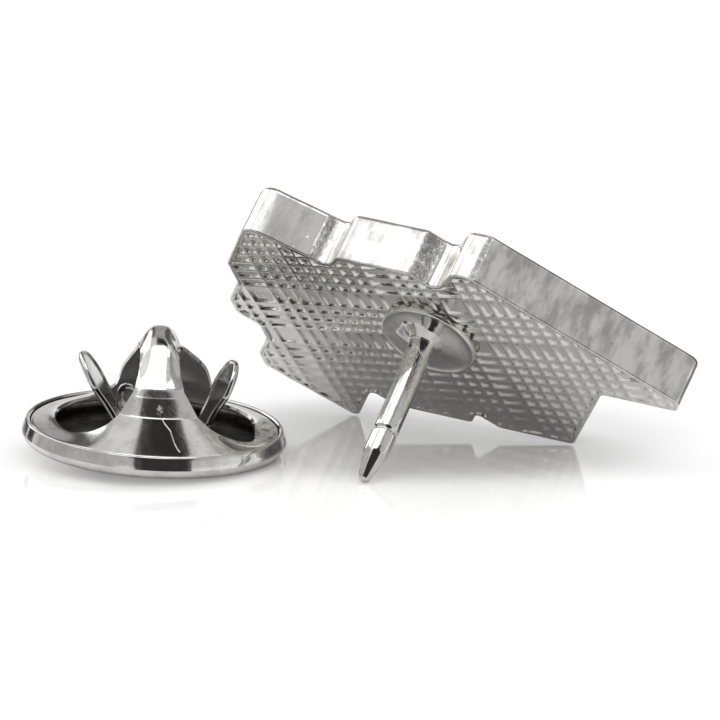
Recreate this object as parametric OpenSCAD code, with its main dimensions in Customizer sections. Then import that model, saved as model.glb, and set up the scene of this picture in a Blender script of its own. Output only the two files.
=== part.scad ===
// Lapel pin resting on the lower edge of its plate and the tip of its post,
// with the butterfly clutch taken off and standing beside it. Sizes in millimetres.

/* [Plate] */
// Thickness of the cast plate
plate_t = 2.5; // [2:0.1:3]
// Radius of the plate's outer corners
corner_r = 0.34; // [0.1:0.02:0.4]
// Width of the plain border round the cross-hatched back
border_w = 0.32; // [0.2:0.02:0.6]
// Depth of the cells between the hatch ridges
cell_depth = 0.1; // [0.05:0.01:0.2]
// Width of a hatch ridge
ridge_w = 0.22; // [0.15:0.01:0.3]
// Spacing of the hatch ridges along a row
pitch_u = 0.63; // [0.55:0.01:0.8]
// Spacing of the hatch ridges across the rows
pitch_v = 0.57; // [0.55:0.01:0.8]

/* [Post] */
// Diameter of the soldered pad
pad_d = 4.4; // [3.6:0.1:5]
// Thickness of the soldered pad
pad_h = 0.3; // [0.2:0.05:0.5]
// Diameter of the post
post_d = 1.12; // [0.9:0.02:1.2]
// Reach of the post's tip from the plate's back
post_reach = 8; // [7:0.1:9]
// Length of the tapered end
taper_l = 1.7; // [1:0.1:2]
// Diameter of the blunt tip
tip_d = 0.46; // [0.3:0.02:0.6]
// Distance by which the foot of the post misses the line through its tip
foot_shift = 0.35; // [0:0.05:0.6]

/* [Clutch] */
// Radius of the clutch over its rolled rim
rim_r = 5.78; // [5.7:0.02:6.2]
// Height of the rolled rim
rim_h = 1; // [1:0.05:1.2]
// Thickness of the sheet that the clutch is pressed from
sheet_t = 0.22; // [0.18:0.01:0.24]
// Radius of the hole that the post goes into
hole_r = 0.66; // [0.6:0.01:0.75]
// Drop of the rounded belly below the rim
belly_drop = 0.3; // [0.2:0.02:0.4]
// Outer radius of the two windows in the crown
window_r = 4.36; // [4:0.02:4.6]

/* [Wings] */
// Length of the left wing from its pivot to its tip
left_l = 3.65; // [3:0.05:4.2]
// Length of the right wing from its pivot to its tip
right_l = 3.35; // [3:0.05:4.2]
// Width of a wing's paddle
wing_w = 2.9; // [2.4:0.1:3.2]
// Thickness of a wing
wing_t = 0.22; // [0.18:0.01:0.3]
// Lean of the left wing from the clutch's axis
left_lean = 33; // [20:1:38]
// Lean of the right wing from the clutch's axis
right_lean = 25; // [20:1:38]
// Distance of the left wing's pivot from the clutch's axis
left_pivot = 1.3; // [1:0.05:2]
// Distance of the right wing's pivot from the clutch's axis
right_pivot = 1.88; // [1:0.02:2]
// Angle by which the left wing opens towards the front
left_toe = -1; // [-3:1:18]
// Angle by which the right wing opens towards the front
right_toe = 7; // [-3:1:18]

/* [Resting place] */
// Floor corner of the plate, across the view
plate_x = -0.11; // [-3:0.01:3]
// Floor corner of the plate, along the view
plate_y = 5.47; // [-10:0.01:10]
// Turn of the plate's floor line towards the front
plate_turn = 29.8; // [10:0.1:45]
// Middle of the clutch, across the view
clutch_x = -8.95; // [-12:0.01:-8]
// Middle of the clutch, along the view
clutch_y = -1.52; // [-10:0.01:10]
// Turn of the clutch about its own axis
clutch_turn = -3; // [-20:1:20]
// Direction in which the clutch leans on its belly
clutch_heading = -21; // [-90:1:90]

/* [Hidden] */
$fn = 64;
METAL = [0.74, 0.73, 0.71];
BRIGHT = [0.84, 0.84, 0.82];

// Headings of the emblem's edges, measured from the floor line.
LEVEL = -8;
RAKE = -43;
RISE = 56;
NOTCH = 48;
SHOULDER = 147;
DOWN = -90;

// Runs of the outline, anticlockwise from the floor corner: length, heading, radius of the corner
// that the run starts from, as a share of corner_r. The last run closes the loop.
LENGTH = 0;
HEADING = 1;
SOFTNESS = 2;
outline_runs = [
    [2.6, RISE, 1], [1.3, RAKE, 1], [3.7, LEVEL, 1],
    [0.842, RISE, 0.7], [1.2, RAKE, 0.7], [3.55, LEVEL, 1],
    [4.9, RISE, 1], [3.5, LEVEL, 1], [0.75, RISE, 0.6],
    [10.6, RAKE + 180, 1.3], [0.95, LEVEL + 180, 1.8], [1.7, NOTCH + 180, 1.5],
    [1.45, RAKE + 180, 1.5], [3.42, LEVEL + 180, 1.2], [0.95, NOTCH + 180, 1.2],
    [4.05, SHOULDER, 1.4], [3.54, RISE + 180, 1.7], [1.34, DOWN, 0.9],
    [1.64, RISE + 180, 1], [0.9, DOWN, 1], [1.2, RAKE, 1],
    [0.9, DOWN, 1], [1.5, RISE + 180, 1], [0.85, DOWN, 1], [4.74, RAKE, 1],
];
// Distance of the sharp floor corner below the floor that its rounded form touches.
corner_drop = 0.168;
corner_steps = 4;

function total(list, last) = last < 0 ? [0, -corner_drop] : list[last] + total(list, last - 1);
outline_steps = [for (run = outline_runs) run[LENGTH] * [cos(run[HEADING]), sin(run[HEADING])]];
outline = [for (k = [-1:len(outline_steps) - 2]) total(outline_steps, k)];

function at(list, k) = list[(k + len(list)) % len(list)];
function unit(v) = v / norm(v);
function cross2(a, b) = a.x * b.y - a.y * b.x;
function turned(v, a) = [v.x * cos(a) - v.y * sin(a), v.x * sin(a) + v.y * cos(a)];

// Arc that rounds corner k of a loop of points.
function corner_arc(loop, k, r) =
    let (back = unit(at(loop, k - 1) - loop[k]), ahead = unit(at(loop, k + 1) - loop[k]))
    let (half = acos(back * ahead) / 2)
    let (centre = loop[k] + unit(back + ahead) * r / sin(half))
    let (first = loop[k] + back * r / tan(half) - centre)
    let (sweep = (180 - 2 * half) * sign(cross2(-back, ahead)))
    [for (i = [0:corner_steps]) centre + turned(first, sweep * i / corner_steps)];

function rounded(loop, r) = [for (k = [0:len(loop) - 1]) each corner_arc(loop, k, r * outline_runs[k][SOFTNESS])];

// The same loop moved inwards by w.
function inset(loop, w) = [for (k = [0:len(loop) - 1])
    let (a = turned(unit(loop[k] - at(loop, k - 1)), 90), b = turned(unit(at(loop, k + 1) - loop[k]), 90))
    loop[k] + (a + b) * w / (1 + a * b)];

// Cells of the hatch, in ridge spacings: a wide one, nine narrow, a wide one, three narrow, over again.
hatch_turn = 5.4;
hatch_origin = [-2.33, 7.6];
hatch_repeat = 16;
cell_spans = [[0, 2], for (k = [2:10]) [k, k + 1], [11, 13], for (k = [13:15]) [k, k + 1]];
function cells(first, last) = [for (n = [first:last], span = cell_spans) span + n * [hatch_repeat, hatch_repeat]];

// Pad and post, on the plate's back. The post leans by foot_shift, so that its tip stands over tip_spot.
pad_spot = [6.18, 6.72];
tip_spot = [6.36, 6.88];
post_lean = atan(foot_shift / post_reach);
// Solder fillet round the foot: radius, height from the plate's back.
fillet = [[1.1, 0.3], [0.86, 0.42], [0.7, 0.62], [0.6, 0.92], [post_d / 2, 1.22]];
fillet_root = pad_h / 2;
groove_z = 4.85;
groove_w = 0.24;
groove_depth = 0.07;
// Loss of radius along the nose, from the groove to the start of the taper.
nose_draft = 0.03;
tip_edge = 0.06;
// Tilt at which the plate's lower edge and the tip of the post both meet the floor.
plate_tilt = atan((post_reach - tip_edge) / (tip_spot.y - tip_d / 2));

// Rounded belly of the clutch: the cap of a ball, inside this radius.
belly_r = 3.6;
belly_steps = 6;
belly_ball = (belly_r * belly_r + belly_drop * belly_drop) / (2 * belly_drop);
function belly_z(r) = belly_ball - belly_drop - sqrt(belly_ball * belly_ball - r * r);
belly_radii = [for (i = [0:belly_steps]) hole_r + (belly_r - hole_r) * i / belly_steps];
// Collar turned up round the hole: its height, the bend at its foot and its thickness.
collar_top = 0.34;
collar_bend = 0.1;
collar_t = 0.13;

// Rolled rim: most of an upright ellipse, whose outside is bead_w wide and rim_h high.
bead_w = 0.53;
bead_at = rim_r - bead_w;
bead_steps = 9;
bead_sweep = 162;
function bead(w, h) = [for (i = [0:bead_steps])
    let (a = bead_sweep * i / bead_steps - 90) [bead_at + w * cos(a), rim_h / 2 + h * sin(a)]];

// Lean at which the belly and one side of the rim both meet the floor, and the clutch's height then.
ball_over_bead = belly_ball - belly_drop - rim_h / 2;
clutch_lean = atan(bead_at / ball_over_bead) - acos((belly_ball - rim_h / 2) / norm([bead_at, ball_over_bead]));
clutch_z = belly_ball - (belly_ball - belly_drop) * cos(clutch_lean);

// Outer face of the crown, from under the rim to its top: radius, height over the rim's lower edge.
crown_profile = [
    [5.44, 0.6], [5.24, 0.7], [5.08, 0.97], [4.72, 1.03], [4.36, 1.14], [4.12, 1.42], [3.82, 1.82], [3.5, 2.22],
    [3.1, 2.7], [2.72, 3.13], [2.24, 3.58], [1.5, 4.14], [1.22, 4.42], [0.98, 4.7], [0.78, 4.99],
    [0.5, 5.26], [0.2, 5.42], [0, 5.46],
];
// Point k of a profile, moved inwards and down by t.
function under(profile, k, t) =
    let (a = profile[max(0, k - 1)], b = profile[min(len(profile) - 1, k + 1)])
    let (p = profile[k] + t * turned(unit(b - a), 90)) [max(0, p.x), p.y];

// Legs of the crown: distance from the axis, half width in front, half width behind on the left
// and on the right.
FAR = 0;
FRONT = 1;
BACK_LEFT = 2;
BACK_RIGHT = 3;
leg_table = [
    [0, 0.84, 0.88, 0.9], [0.5, 0.84, 0.92, 1.3], [1, 0.84, 1.02, 1.7], [1.5, 0.86, 1.2, 1.98],
    [1.9, 0.92, 1.4, 2.1], [2.45, 1.08, 1.74, 2.2], [2.8, 1.5, 1.88, 2.25], [3.07, 1.84, 1.96, 2.32],
    [3.3, 2.14, 2.05, 2.4], [3.4, 2.45, 2.1, 2.45], [3.46, 3, 2.14, 2.5], [4.4, 4.4, 3, 3],
];

// Pivot of a wing, and the rolled root that turns on it.
pivot_z = 0.98;
root_r = 0.3;
root_w = 1.9;
neck_l = 1;
wing_rim = 0.26;
rim_lift = 0.12;
tongue_t = 0.2;
tongue_end = 0.15;
neck_overlap = 0.2;
post_room = 0.62;

module place_badge() {
    translate([plate_x, plate_y, 0])
        rotate([0, 0, -plate_turn])
            rotate([180 - plate_tilt, 0, 0])
                children();
}

module place_clutch() {
    translate([clutch_x, clutch_y, clutch_z])
        rotate(clutch_lean, [-sin(clutch_heading), cos(clutch_heading), 0])
            rotate([0, 0, clutch_turn])
                children();
}

module hatch_cells() {
    translate(hatch_origin)
        rotate([0, 0, hatch_turn])
            for (u = cells(-1, 1), v = cells(-1, 1))
                translate([u[0] * pitch_u + ridge_w / 2, v[0] * pitch_v + ridge_w / 2, -cell_depth])
                    cube([(u[1] - u[0]) * pitch_u - ridge_w, (v[1] - v[0]) * pitch_v - ridge_w, 1]);
}

// Cast plate, its back at z = 0, cross-hatched inside a plain border.
module plate() {
    difference() {
        translate([0, 0, -plate_t])
            linear_extrude(plate_t)
                polygon(rounded(outline, corner_r));
        intersection() {
            translate([0, 0, -plate_t / 2])
                linear_extrude(plate_t)
                    polygon(inset(outline, border_w));
            hatch_cells();
        }
    }
}

// Soldered pad, seated on the floor of the cells.
module pad() {
    translate([pad_spot.x, pad_spot.y, -cell_depth])
        cylinder(d = pad_d, h = pad_h + cell_depth);
}

// Round post with its solder fillet, grip groove and blunt tapered tip.
module post() {
    r = post_d / 2;
    translate([tip_spot.x, tip_spot.y, post_reach])
        rotate([0, post_lean, 0])
            translate([0, 0, -post_reach])
                rotate_extrude()
                    polygon([
                        [0, fillet_root], [fillet[0][0], fillet_root], each fillet,
                        [r, groove_z], [r - groove_depth, groove_z + groove_w / 2], [r, groove_z + groove_w],
                        [r - nose_draft, post_reach - taper_l], [tip_d / 2, post_reach - tip_edge],
                        [tip_d / 2 - tip_edge, post_reach], [0, post_reach],
                    ]);
}

module badge() {
    color(METAL)
        place_badge()
            union() {
                plate();
                pad();
                post();
            }
}

// Pressed pan with a rounded belly, a collared hole and a rim rolled over the crown's edge.
module clutch_base() {
    inner = bead(bead_w - sheet_t, rim_h / 2 - sheet_t);
    color(METAL)
        place_clutch()
            rotate_extrude($fn = 128)
                polygon([
                    for (r = belly_radii) [r, belly_z(r)],
                    each bead(bead_w, rim_h / 2),
                    for (i = [bead_steps:-1:0]) inner[i],
                    for (i = [belly_steps:-1:2]) [belly_radii[i], belly_z(belly_radii[i]) + sheet_t],
                    [hole_r + sheet_t, belly_z(hole_r) + sheet_t + collar_bend],
                    [hole_r + collar_t, collar_top], [hole_r, collar_top],
                ]);
}

// Space cut out of one side of the crown, between its legs and the ring.
module window(behind) {
    last = len(leg_table) - 1;
    reach = leg_table[last][FAR];
    intersection() {
        cylinder(r = window_r, h = 2 * rim_r, $fn = 128);
        linear_extrude(2 * rim_r)
            polygon([
                for (k = [last:-1:0]) [leg_table[k][FRONT], -leg_table[k][FAR]],
                for (k = [1:last]) [leg_table[k][behind], leg_table[k][FAR]],
                [rim_r, reach], [rim_r, -reach],
            ]);
    }
}

// Pressed bell that the base's rim holds, open at both sides.
module clutch_crown() {
    last = len(crown_profile) - 1;
    color(BRIGHT)
        place_clutch()
            difference() {
                rotate_extrude($fn = 128)
                    polygon([
                        each crown_profile,
                        for (k = [last:-1:0]) under(crown_profile, k, sheet_t),
                    ]);
                window(BACK_RIGHT);
                mirror([1, 0, 0]) window(BACK_LEFT);
            }
}

// Outline of a wing's paddle, less a margin: x across it, y from the pivot to the tip.
module paddle(length, margin) {
    r = wing_w / 2 - margin;
    hub = length - wing_w / 2;
    union() {
        translate([0, hub]) circle(r = r);
        polygon([[-r, hub], [margin - root_w / 2, neck_l + margin], [root_w / 2 - margin, neck_l + margin], [r, hub]]);
    }
}

// One end of the clutch's spring: a dished paddle on a rolled root, with a tongue that grips the post.
module wing(pivot_x, length, lean, toe) {
    difference() {
        translate([pivot_x, 0, pivot_z])
            rotate([0, 0, toe])
                union() {
                    rotate([90, 0, 0])
                        cylinder(r = root_r, h = root_w, center = true);
                    rotate([0, lean, 0]) {
                        translate([root_r - wing_t, -root_w / 2, 0])
                            cube([wing_t, root_w, neck_l + neck_overlap]);
                        difference() {
                            translate([root_r - wing_t - rim_lift, 0, 0])
                                rotate([90, 0, 90])
                                    linear_extrude(wing_t + rim_lift) paddle(length, 0);
                            translate([root_r - wing_t - 1, 0, 0])
                                rotate([90, 0, 90])
                                    linear_extrude(1) paddle(length, wing_rim);
                        }
                    }
                    translate([tongue_end - pivot_x, -root_w / 2, -tongue_t / 2])
                        cube([pivot_x - tongue_end, root_w, tongue_t]);
                }
        cylinder(r = post_room, h = rim_r);
        translate([tongue_end - rim_r, -rim_r, 0])
            cube([rim_r, 2 * rim_r, rim_r]);
    }
}

module wing_left() {
    color(BRIGHT)
        place_clutch()
            mirror([1, 0, 0]) wing(left_pivot, left_l, left_lean, left_toe);
}

module wing_right() {
    color(BRIGHT)
        place_clutch()
            wing(right_pivot, right_l, right_lean, right_toe);
}

badge();
clutch_base();
clutch_crown();
wing_left();
wing_right();
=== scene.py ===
"""Dressed model of a lapel pin that lies on the edge of its plate and the tip of its post, with the
butterfly clutch taken off and standing beside it.

Sizes are in millimetres. A piece is made in the frame of its own sub-assembly, and moved to its
place and turned to metres when its mesh is finished. The plate's frame has the plate's back at
z = 0 and the post along +z. The clutch's frame has the lower edge of its rim at z = 0 and its
axis along +z.
"""

import logging
import math
from collections.abc import Callable, Iterable, Sequence
from dataclasses import dataclass, field, replace
from enum import Enum, IntEnum

import bmesh
import bpy
import numpy as np
from mathutils import Matrix, Vector, noise

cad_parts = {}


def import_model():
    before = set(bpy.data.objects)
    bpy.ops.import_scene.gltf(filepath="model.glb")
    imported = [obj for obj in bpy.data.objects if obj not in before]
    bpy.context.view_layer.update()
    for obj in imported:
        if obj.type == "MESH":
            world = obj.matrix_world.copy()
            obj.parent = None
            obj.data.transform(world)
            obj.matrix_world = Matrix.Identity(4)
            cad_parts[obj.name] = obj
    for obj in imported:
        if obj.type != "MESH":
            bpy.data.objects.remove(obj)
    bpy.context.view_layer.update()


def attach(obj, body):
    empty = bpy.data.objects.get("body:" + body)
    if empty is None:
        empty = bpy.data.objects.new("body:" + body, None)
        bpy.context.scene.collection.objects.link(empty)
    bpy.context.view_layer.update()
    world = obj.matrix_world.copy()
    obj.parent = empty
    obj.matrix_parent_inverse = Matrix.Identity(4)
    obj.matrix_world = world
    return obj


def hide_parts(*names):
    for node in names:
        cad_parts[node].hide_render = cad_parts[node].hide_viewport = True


MM = 0.001
MOST_FINISHES = 4
MIX_SHARE, MIX_LOW, MIX_HIGH, MIX_COLOUR = 0, 6, 7, 2

log = logging.getLogger("lapel_pin")

Number = int | float
Pair = tuple[float, float]
Triple = tuple[float, float, float]


class Body(Enum):
    """The bodies that pieces ride on."""

    PIN = "pin"
    LEFT_WING = "left_wing"
    RIGHT_WING = "right_wing"


class Value:
    """A shader socket whose arithmetic adds Math nodes."""

    def __init__(self, graph: "Graph", socket: bpy.types.NodeSocket) -> None:
        """Wrap a socket of a graph."""
        self.graph = graph
        self.socket = socket

    def _math(self, operation: str, *terms: "Term") -> "Value":
        """Result of one Math node on these terms."""
        return self.graph.value("ShaderNodeMath", {"operation": operation}, dict(enumerate(terms)))

    def __add__(self, other: "Term") -> "Value":
        """Sum."""
        return self._math("ADD", self, other)

    __radd__ = __add__

    def __sub__(self, other: "Term") -> "Value":
        """Difference."""
        return self._math("SUBTRACT", self, other)

    def __rsub__(self, other: "Term") -> "Value":
        """Difference from a number."""
        return self._math("SUBTRACT", other, self)

    def __mul__(self, other: "Term") -> "Value":
        """Product."""
        return self._math("MULTIPLY", self, other)

    __rmul__ = __mul__

    def __abs__(self) -> "Value":
        """Size without its sign."""
        return self._math("ABSOLUTE", self)

    def root(self) -> "Value":
        """Square root."""
        return self._math("SQRT", self)

    def angle_from(self, other: "Term") -> "Value":
        """Angle in degrees whose tangent is this value over the other."""
        return self._math("ARCTAN2", self, other) * math.degrees(1)

    def rise(self, low: Number, high: Number) -> "Value":
        """Smooth step from 0 to 1.

        Args:
            low: Where it is 0.
            high: Where it is 1, which may be the smaller.

        Returns:
            The step.
        """
        ends = {"Value": self, "From Min": min(low, high), "From Max": max(low, high)}
        step = self.graph.value("ShaderNodeMapRange", {"interpolation_type": "SMOOTHSTEP"}, ends)
        return 1 - step if low > high else step

    def band(self, low: Number, high: Number, soft: Number) -> "Value":
        """1 between low and high, with edges that are soft wide."""
        return self.rise(low - soft / 2, low + soft / 2) * self.rise(high + soft / 2, high - soft / 2)


Term = Value | Number


def apart(x: Value, y: Value, spot: Pair) -> Value:
    """Distance of a place from a spot."""
    across, along = x - spot[0], y - spot[1]
    return (across * across + along * along).root()


def laid(base: Term, level: Term, mask: Value) -> Value:
    """The base, with a level laid over it where mask is 1."""
    return base * (1 - mask) + level * mask


class Graph:
    """Node tree of one material or world."""

    def __init__(self, tree: bpy.types.NodeTree) -> None:
        """Start with an empty tree."""
        self.tree = tree
        self.tree.nodes.clear()

    def add(self, kind: str, settings: dict | None = None, inputs: dict | None = None) -> bpy.types.Node:
        """Add a node.

        Args:
            kind: The node's type.
            settings: Its settings.
            inputs: Values or links of its sockets, by name or number.

        Returns:
            The node.
        """
        node = self.tree.nodes.new(kind)
        for name, value in (settings or {}).items():
            setattr(node, name, value)
        for name, value in (inputs or {}).items():
            source = value.socket if isinstance(value, Value) else value
            if isinstance(source, bpy.types.NodeSocket):
                self.tree.links.new(source, node.inputs[name])
            else:
                node.inputs[name].default_value = source
        return node

    def value(
        self, kind: str, settings: dict | None = None, inputs: dict | None = None, out: str | int = 0
    ) -> Value:
        """One output of a new node, for use in expressions.

        Args:
            kind: The node's type.
            settings: Its settings.
            inputs: Values or links of its sockets.
            out: Name or number of the output.

        Returns:
            The wrapped output.
        """
        return Value(self, self.add(kind, settings, inputs).outputs[out])

    def parts(self, vector: Value) -> tuple[Value, Value, Value]:
        """The three coordinates of a vector."""
        x, y, z = self.add("ShaderNodeSeparateXYZ", None, {0: vector}).outputs
        return Value(self, x), Value(self, y), Value(self, z)

    def noise(
        self, place: Value, scale: Number, detail: Number = 2, rough: Number = 0.5, lean: Number = 0
    ) -> Value:
        """Cloudy noise from about 0.25 to 0.75.

        Args:
            place: Where on the piece, in millimetres.
            scale: Clouds to a millimetre.
            detail: Finer layers.
            rough: Strength of the finer layers.
            lean: Distortion.

        Returns:
            The noise.
        """
        layers = {"Detail": detail, "Roughness": rough, "Distortion": lean}
        return self.value("ShaderNodeTexNoise", None, {"Vector": place, "Scale": scale, **layers})

    def cells(self, place: Value, scale: Number) -> Value:
        """Distance to the nearest of many scattered points, scale of them to a millimetre."""
        return self.value("ShaderNodeTexVoronoi", None, {"Vector": place, "Scale": scale})

    def stretched(self, place: Value, scale: Triple, turned_by: Triple = (0, 0, 0)) -> Value:
        """A place turned, then stretched, so that a noise on it runs in streaks."""
        turned = self.value("ShaderNodeMapping", None, {"Vector": place, "Rotation": turned_by})
        return self.value("ShaderNodeMapping", None, {"Vector": turned, "Scale": scale})

    def tint(self, low: Triple, high: Triple, share: Term) -> Value:
        """Colour between two others."""
        inputs = {MIX_SHARE: share, MIX_LOW: (*low, 1), MIX_HIGH: (*high, 1)}
        return self.value("ShaderNodeMix", {"data_type": "RGBA"}, inputs, MIX_COLOUR)

    def bumped(self, height: Value) -> Value:
        """Normal of a surface that stands height millimetres proud."""
        return self.value("ShaderNodeBump", None, {"Strength": 1.0, "Distance": MM, "Height": height})


@dataclass(frozen=True)
class Place:
    """Stand of a sub-assembly: a matrix from its own millimetres to the shared frame's."""

    matrix: Matrix

    def inside(self, *moves: Matrix) -> "Place":
        """Stand of something in this one.

        Args:
            moves: Moves that put it there, the outermost first.

        Returns:
            Its stand.
        """
        matrix = self.matrix.copy()
        for move in moves:
            matrix = matrix @ move
        return Place(matrix)

    def in_metres(self) -> Matrix:
        """The matrix from own millimetres to the shared frame's metres."""
        return Matrix.Scale(MM, 4) @ self.matrix

    def coordinates(self, graph: Graph) -> Value:
        """Own millimetres of each point of a surface.

        Args:
            graph: The surface's material.

        Returns:
            The coordinates.
        """
        inputs = {
            "Vector": graph.value("ShaderNodeTexCoord", out="Object"),
            "Location": self.matrix.translation * MM,
            "Rotation": self.matrix.to_euler(),
            "Scale": (MM, MM, MM),
        }
        return graph.value("ShaderNodeMapping", {"vector_type": "TEXTURE"}, inputs)


def shift(x: Number, y: Number, z: Number) -> Matrix:
    """Move in millimetres."""
    return Matrix.Translation((x, y, z))


def turn(degrees: Number, axis: str | Vector) -> Matrix:
    """Turn about an axis."""
    return Matrix.Rotation(math.radians(degrees), 4, axis)


def softened(path: Sequence[Pair], rounds: int) -> list[Pair]:
    """An open path with its corners cut smaller and smaller.

    Args:
        path: Points in a plane.
        rounds: Times that each corner is cut.

    Returns:
        The smoother path, with the same ends.
    """
    for _ in range(rounds):
        cut = [path[0]]
        for a, b in zip(path[:-1], path[1:]):
            cut.append((0.75 * a[0] + 0.25 * b[0], 0.75 * a[1] + 0.25 * b[1]))
            cut.append((0.25 * a[0] + 0.75 * b[0], 0.25 * a[1] + 0.75 * b[1]))
        path = [*cut, path[-1]]
    return path


def smooth(share: float) -> float:
    """Smooth step from 0 at 0 to 1 at 1."""
    share = min(1.0, max(0.0, share))
    return share * share * (3 - 2 * share)


def table(rows: Sequence[Pair], at: Number) -> float:
    """Second column of a table, between its rows, where the first column is at."""
    return float(np.interp(at, [row[0] for row in rows], [row[1] for row in rows]))


def outwards(ring: np.ndarray) -> np.ndarray:
    """Direction out of a ring that runs counterclockwise, at each of its points."""
    ahead = np.roll(ring, -1, axis=0) - np.roll(ring, 1, axis=0)
    return np.stack([ahead[:, 1], -ahead[:, 0]], axis=1) / np.linalg.norm(ahead, axis=1)[:, None]


class Skin:
    """Points and faces of one piece, in its own millimetres."""

    def __init__(self) -> None:
        """Start empty."""
        self.points: list[Triple] = []
        self.faces: list[tuple[int, ...]] = []
        self.finishes: list[int] = []

    def face(self, corners: Iterable[int], finish: int = 0) -> None:
        """Add a face with one of the piece's finishes."""
        self.faces.append(tuple(int(corner) for corner in corners))
        self.finishes.append(int(finish))

    def grid(self, rows: Sequence, around: bool = True, finish: int = 0) -> np.ndarray:
        """Add a grid of points and the faces between its rows.

        Args:
            rows: Points in rows and columns.
            around: Whether the last column joins the first.
            finish: Number of the finish.

        Returns:
            The numbers of the points, in rows and columns.
        """
        points = np.asarray(rows, dtype=float)
        count, width = points.shape[:2]
        start = len(self.points)
        self.points.extend(map(tuple, points.reshape(-1, 3)))
        index = np.arange(start, start + count * width).reshape(count, width)
        for near, far in zip(index[:-1], index[1:]):
            self.strip(near, far, around, finish)
        return index

    def strip(self, near: Sequence[int], far: Sequence[int], around: bool = True, finish: int = 0) -> None:
        """Add the faces between two rows of points.

        Args:
            near: Numbers of one row's points.
            far: Numbers of the next row's.
            around: Whether the last column joins the first.
            finish: Number of the finish.
        """
        width = len(near)
        for j in range(width if around else width - 1):
            k = (j + 1) % width
            self.face((near[j], near[k], far[k], far[j]), finish)

    def cap(self, ring: Sequence[int], middle: Triple) -> None:
        """Close a ring with a fan.

        Args:
            ring: Numbers of the ring's points.
            middle: Point that the fan goes round.
        """
        self.points.append(middle)
        for a, b in zip(ring, np.roll(ring, -1)):
            self.face((a, b, len(self.points) - 1))

    def move(self, matrix: Matrix, start: int = 0) -> None:
        """Move the points from a number on."""
        self.points[start:] = [tuple(matrix @ Vector(point)) for point in self.points[start:]]

    def mirrored(self) -> "Skin":
        """The same skin with left and right exchanged.

        Returns:
            The other skin.
        """
        other = Skin()
        other.points = [(-x, y, z) for x, y, z in self.points]
        other.faces = [face[::-1] for face in self.faces]
        other.finishes = list(self.finishes)
        return other

    def finished(
        self,
        name: str,
        place: Place,
        carve: Callable[[bmesh.types.BMesh], None] | None = None,
        steps: Sequence[tuple[str, dict]] = (),
    ) -> bpy.types.Object:
        """Make the piece.

        Args:
            name: The piece's name.
            place: Where it stands.
            carve: Work on the mesh before the steps.
            steps: Modifiers with their settings, applied in millimetres.

        Returns:
            The piece, smooth, in metres and in its place.
        """
        mesh = bpy.data.meshes.new(name)
        mesh.from_pydata(self.points, [], self.faces)
        mesh.polygons.foreach_set("material_index", self.finishes)
        if carve:
            work = bmesh.new()
            work.from_mesh(mesh)
            carve(work)
            work.to_mesh(mesh)
            work.free()
        mesh.shade_smooth()
        piece = bpy.data.objects.new(name, mesh)
        bpy.context.scene.collection.objects.link(piece)
        if steps:
            self.work_through(piece, steps)
        piece.data.transform(place.in_metres())
        piece.data.name = name
        return piece

    @staticmethod
    def work_through(piece: bpy.types.Object, steps: Sequence[tuple[str, dict]]) -> None:
        """Apply modifiers to a piece, and keep the finishes' numbers of its faces.

        Args:
            piece: The piece.
            steps: The modifiers with their settings.
        """
        for kind, settings in steps:
            step = piece.modifiers.new(kind.title(), kind)
            for key, value in settings.items():
                setattr(step, key, value)
        for _ in range(MOST_FINISHES):
            piece.data.materials.append(None)
        shapes = bpy.context.evaluated_depsgraph_get()
        mesh = bpy.data.meshes.new_from_object(piece.evaluated_get(shapes), depsgraph=shapes)
        piece.data = mesh
        piece.modifiers.clear()
        numbers = np.zeros(len(mesh.polygons), dtype=np.int32)
        mesh.polygons.foreach_get("material_index", numbers)
        mesh.materials.clear()
        mesh.polygons.foreach_set("material_index", numbers)


def enlist(piece: bpy.types.Object, node: str, body: Body) -> None:
    """Put a finished piece on its body, hide the CAD node that it stands for, and log its faces.

    Args:
        piece: The piece.
        node: The CAD node.
        body: The body.
    """
    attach(piece, body.value)
    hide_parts(node)
    log.info("%s: %d faces on %s", piece.name, len(piece.data.polygons), body.value)


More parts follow.
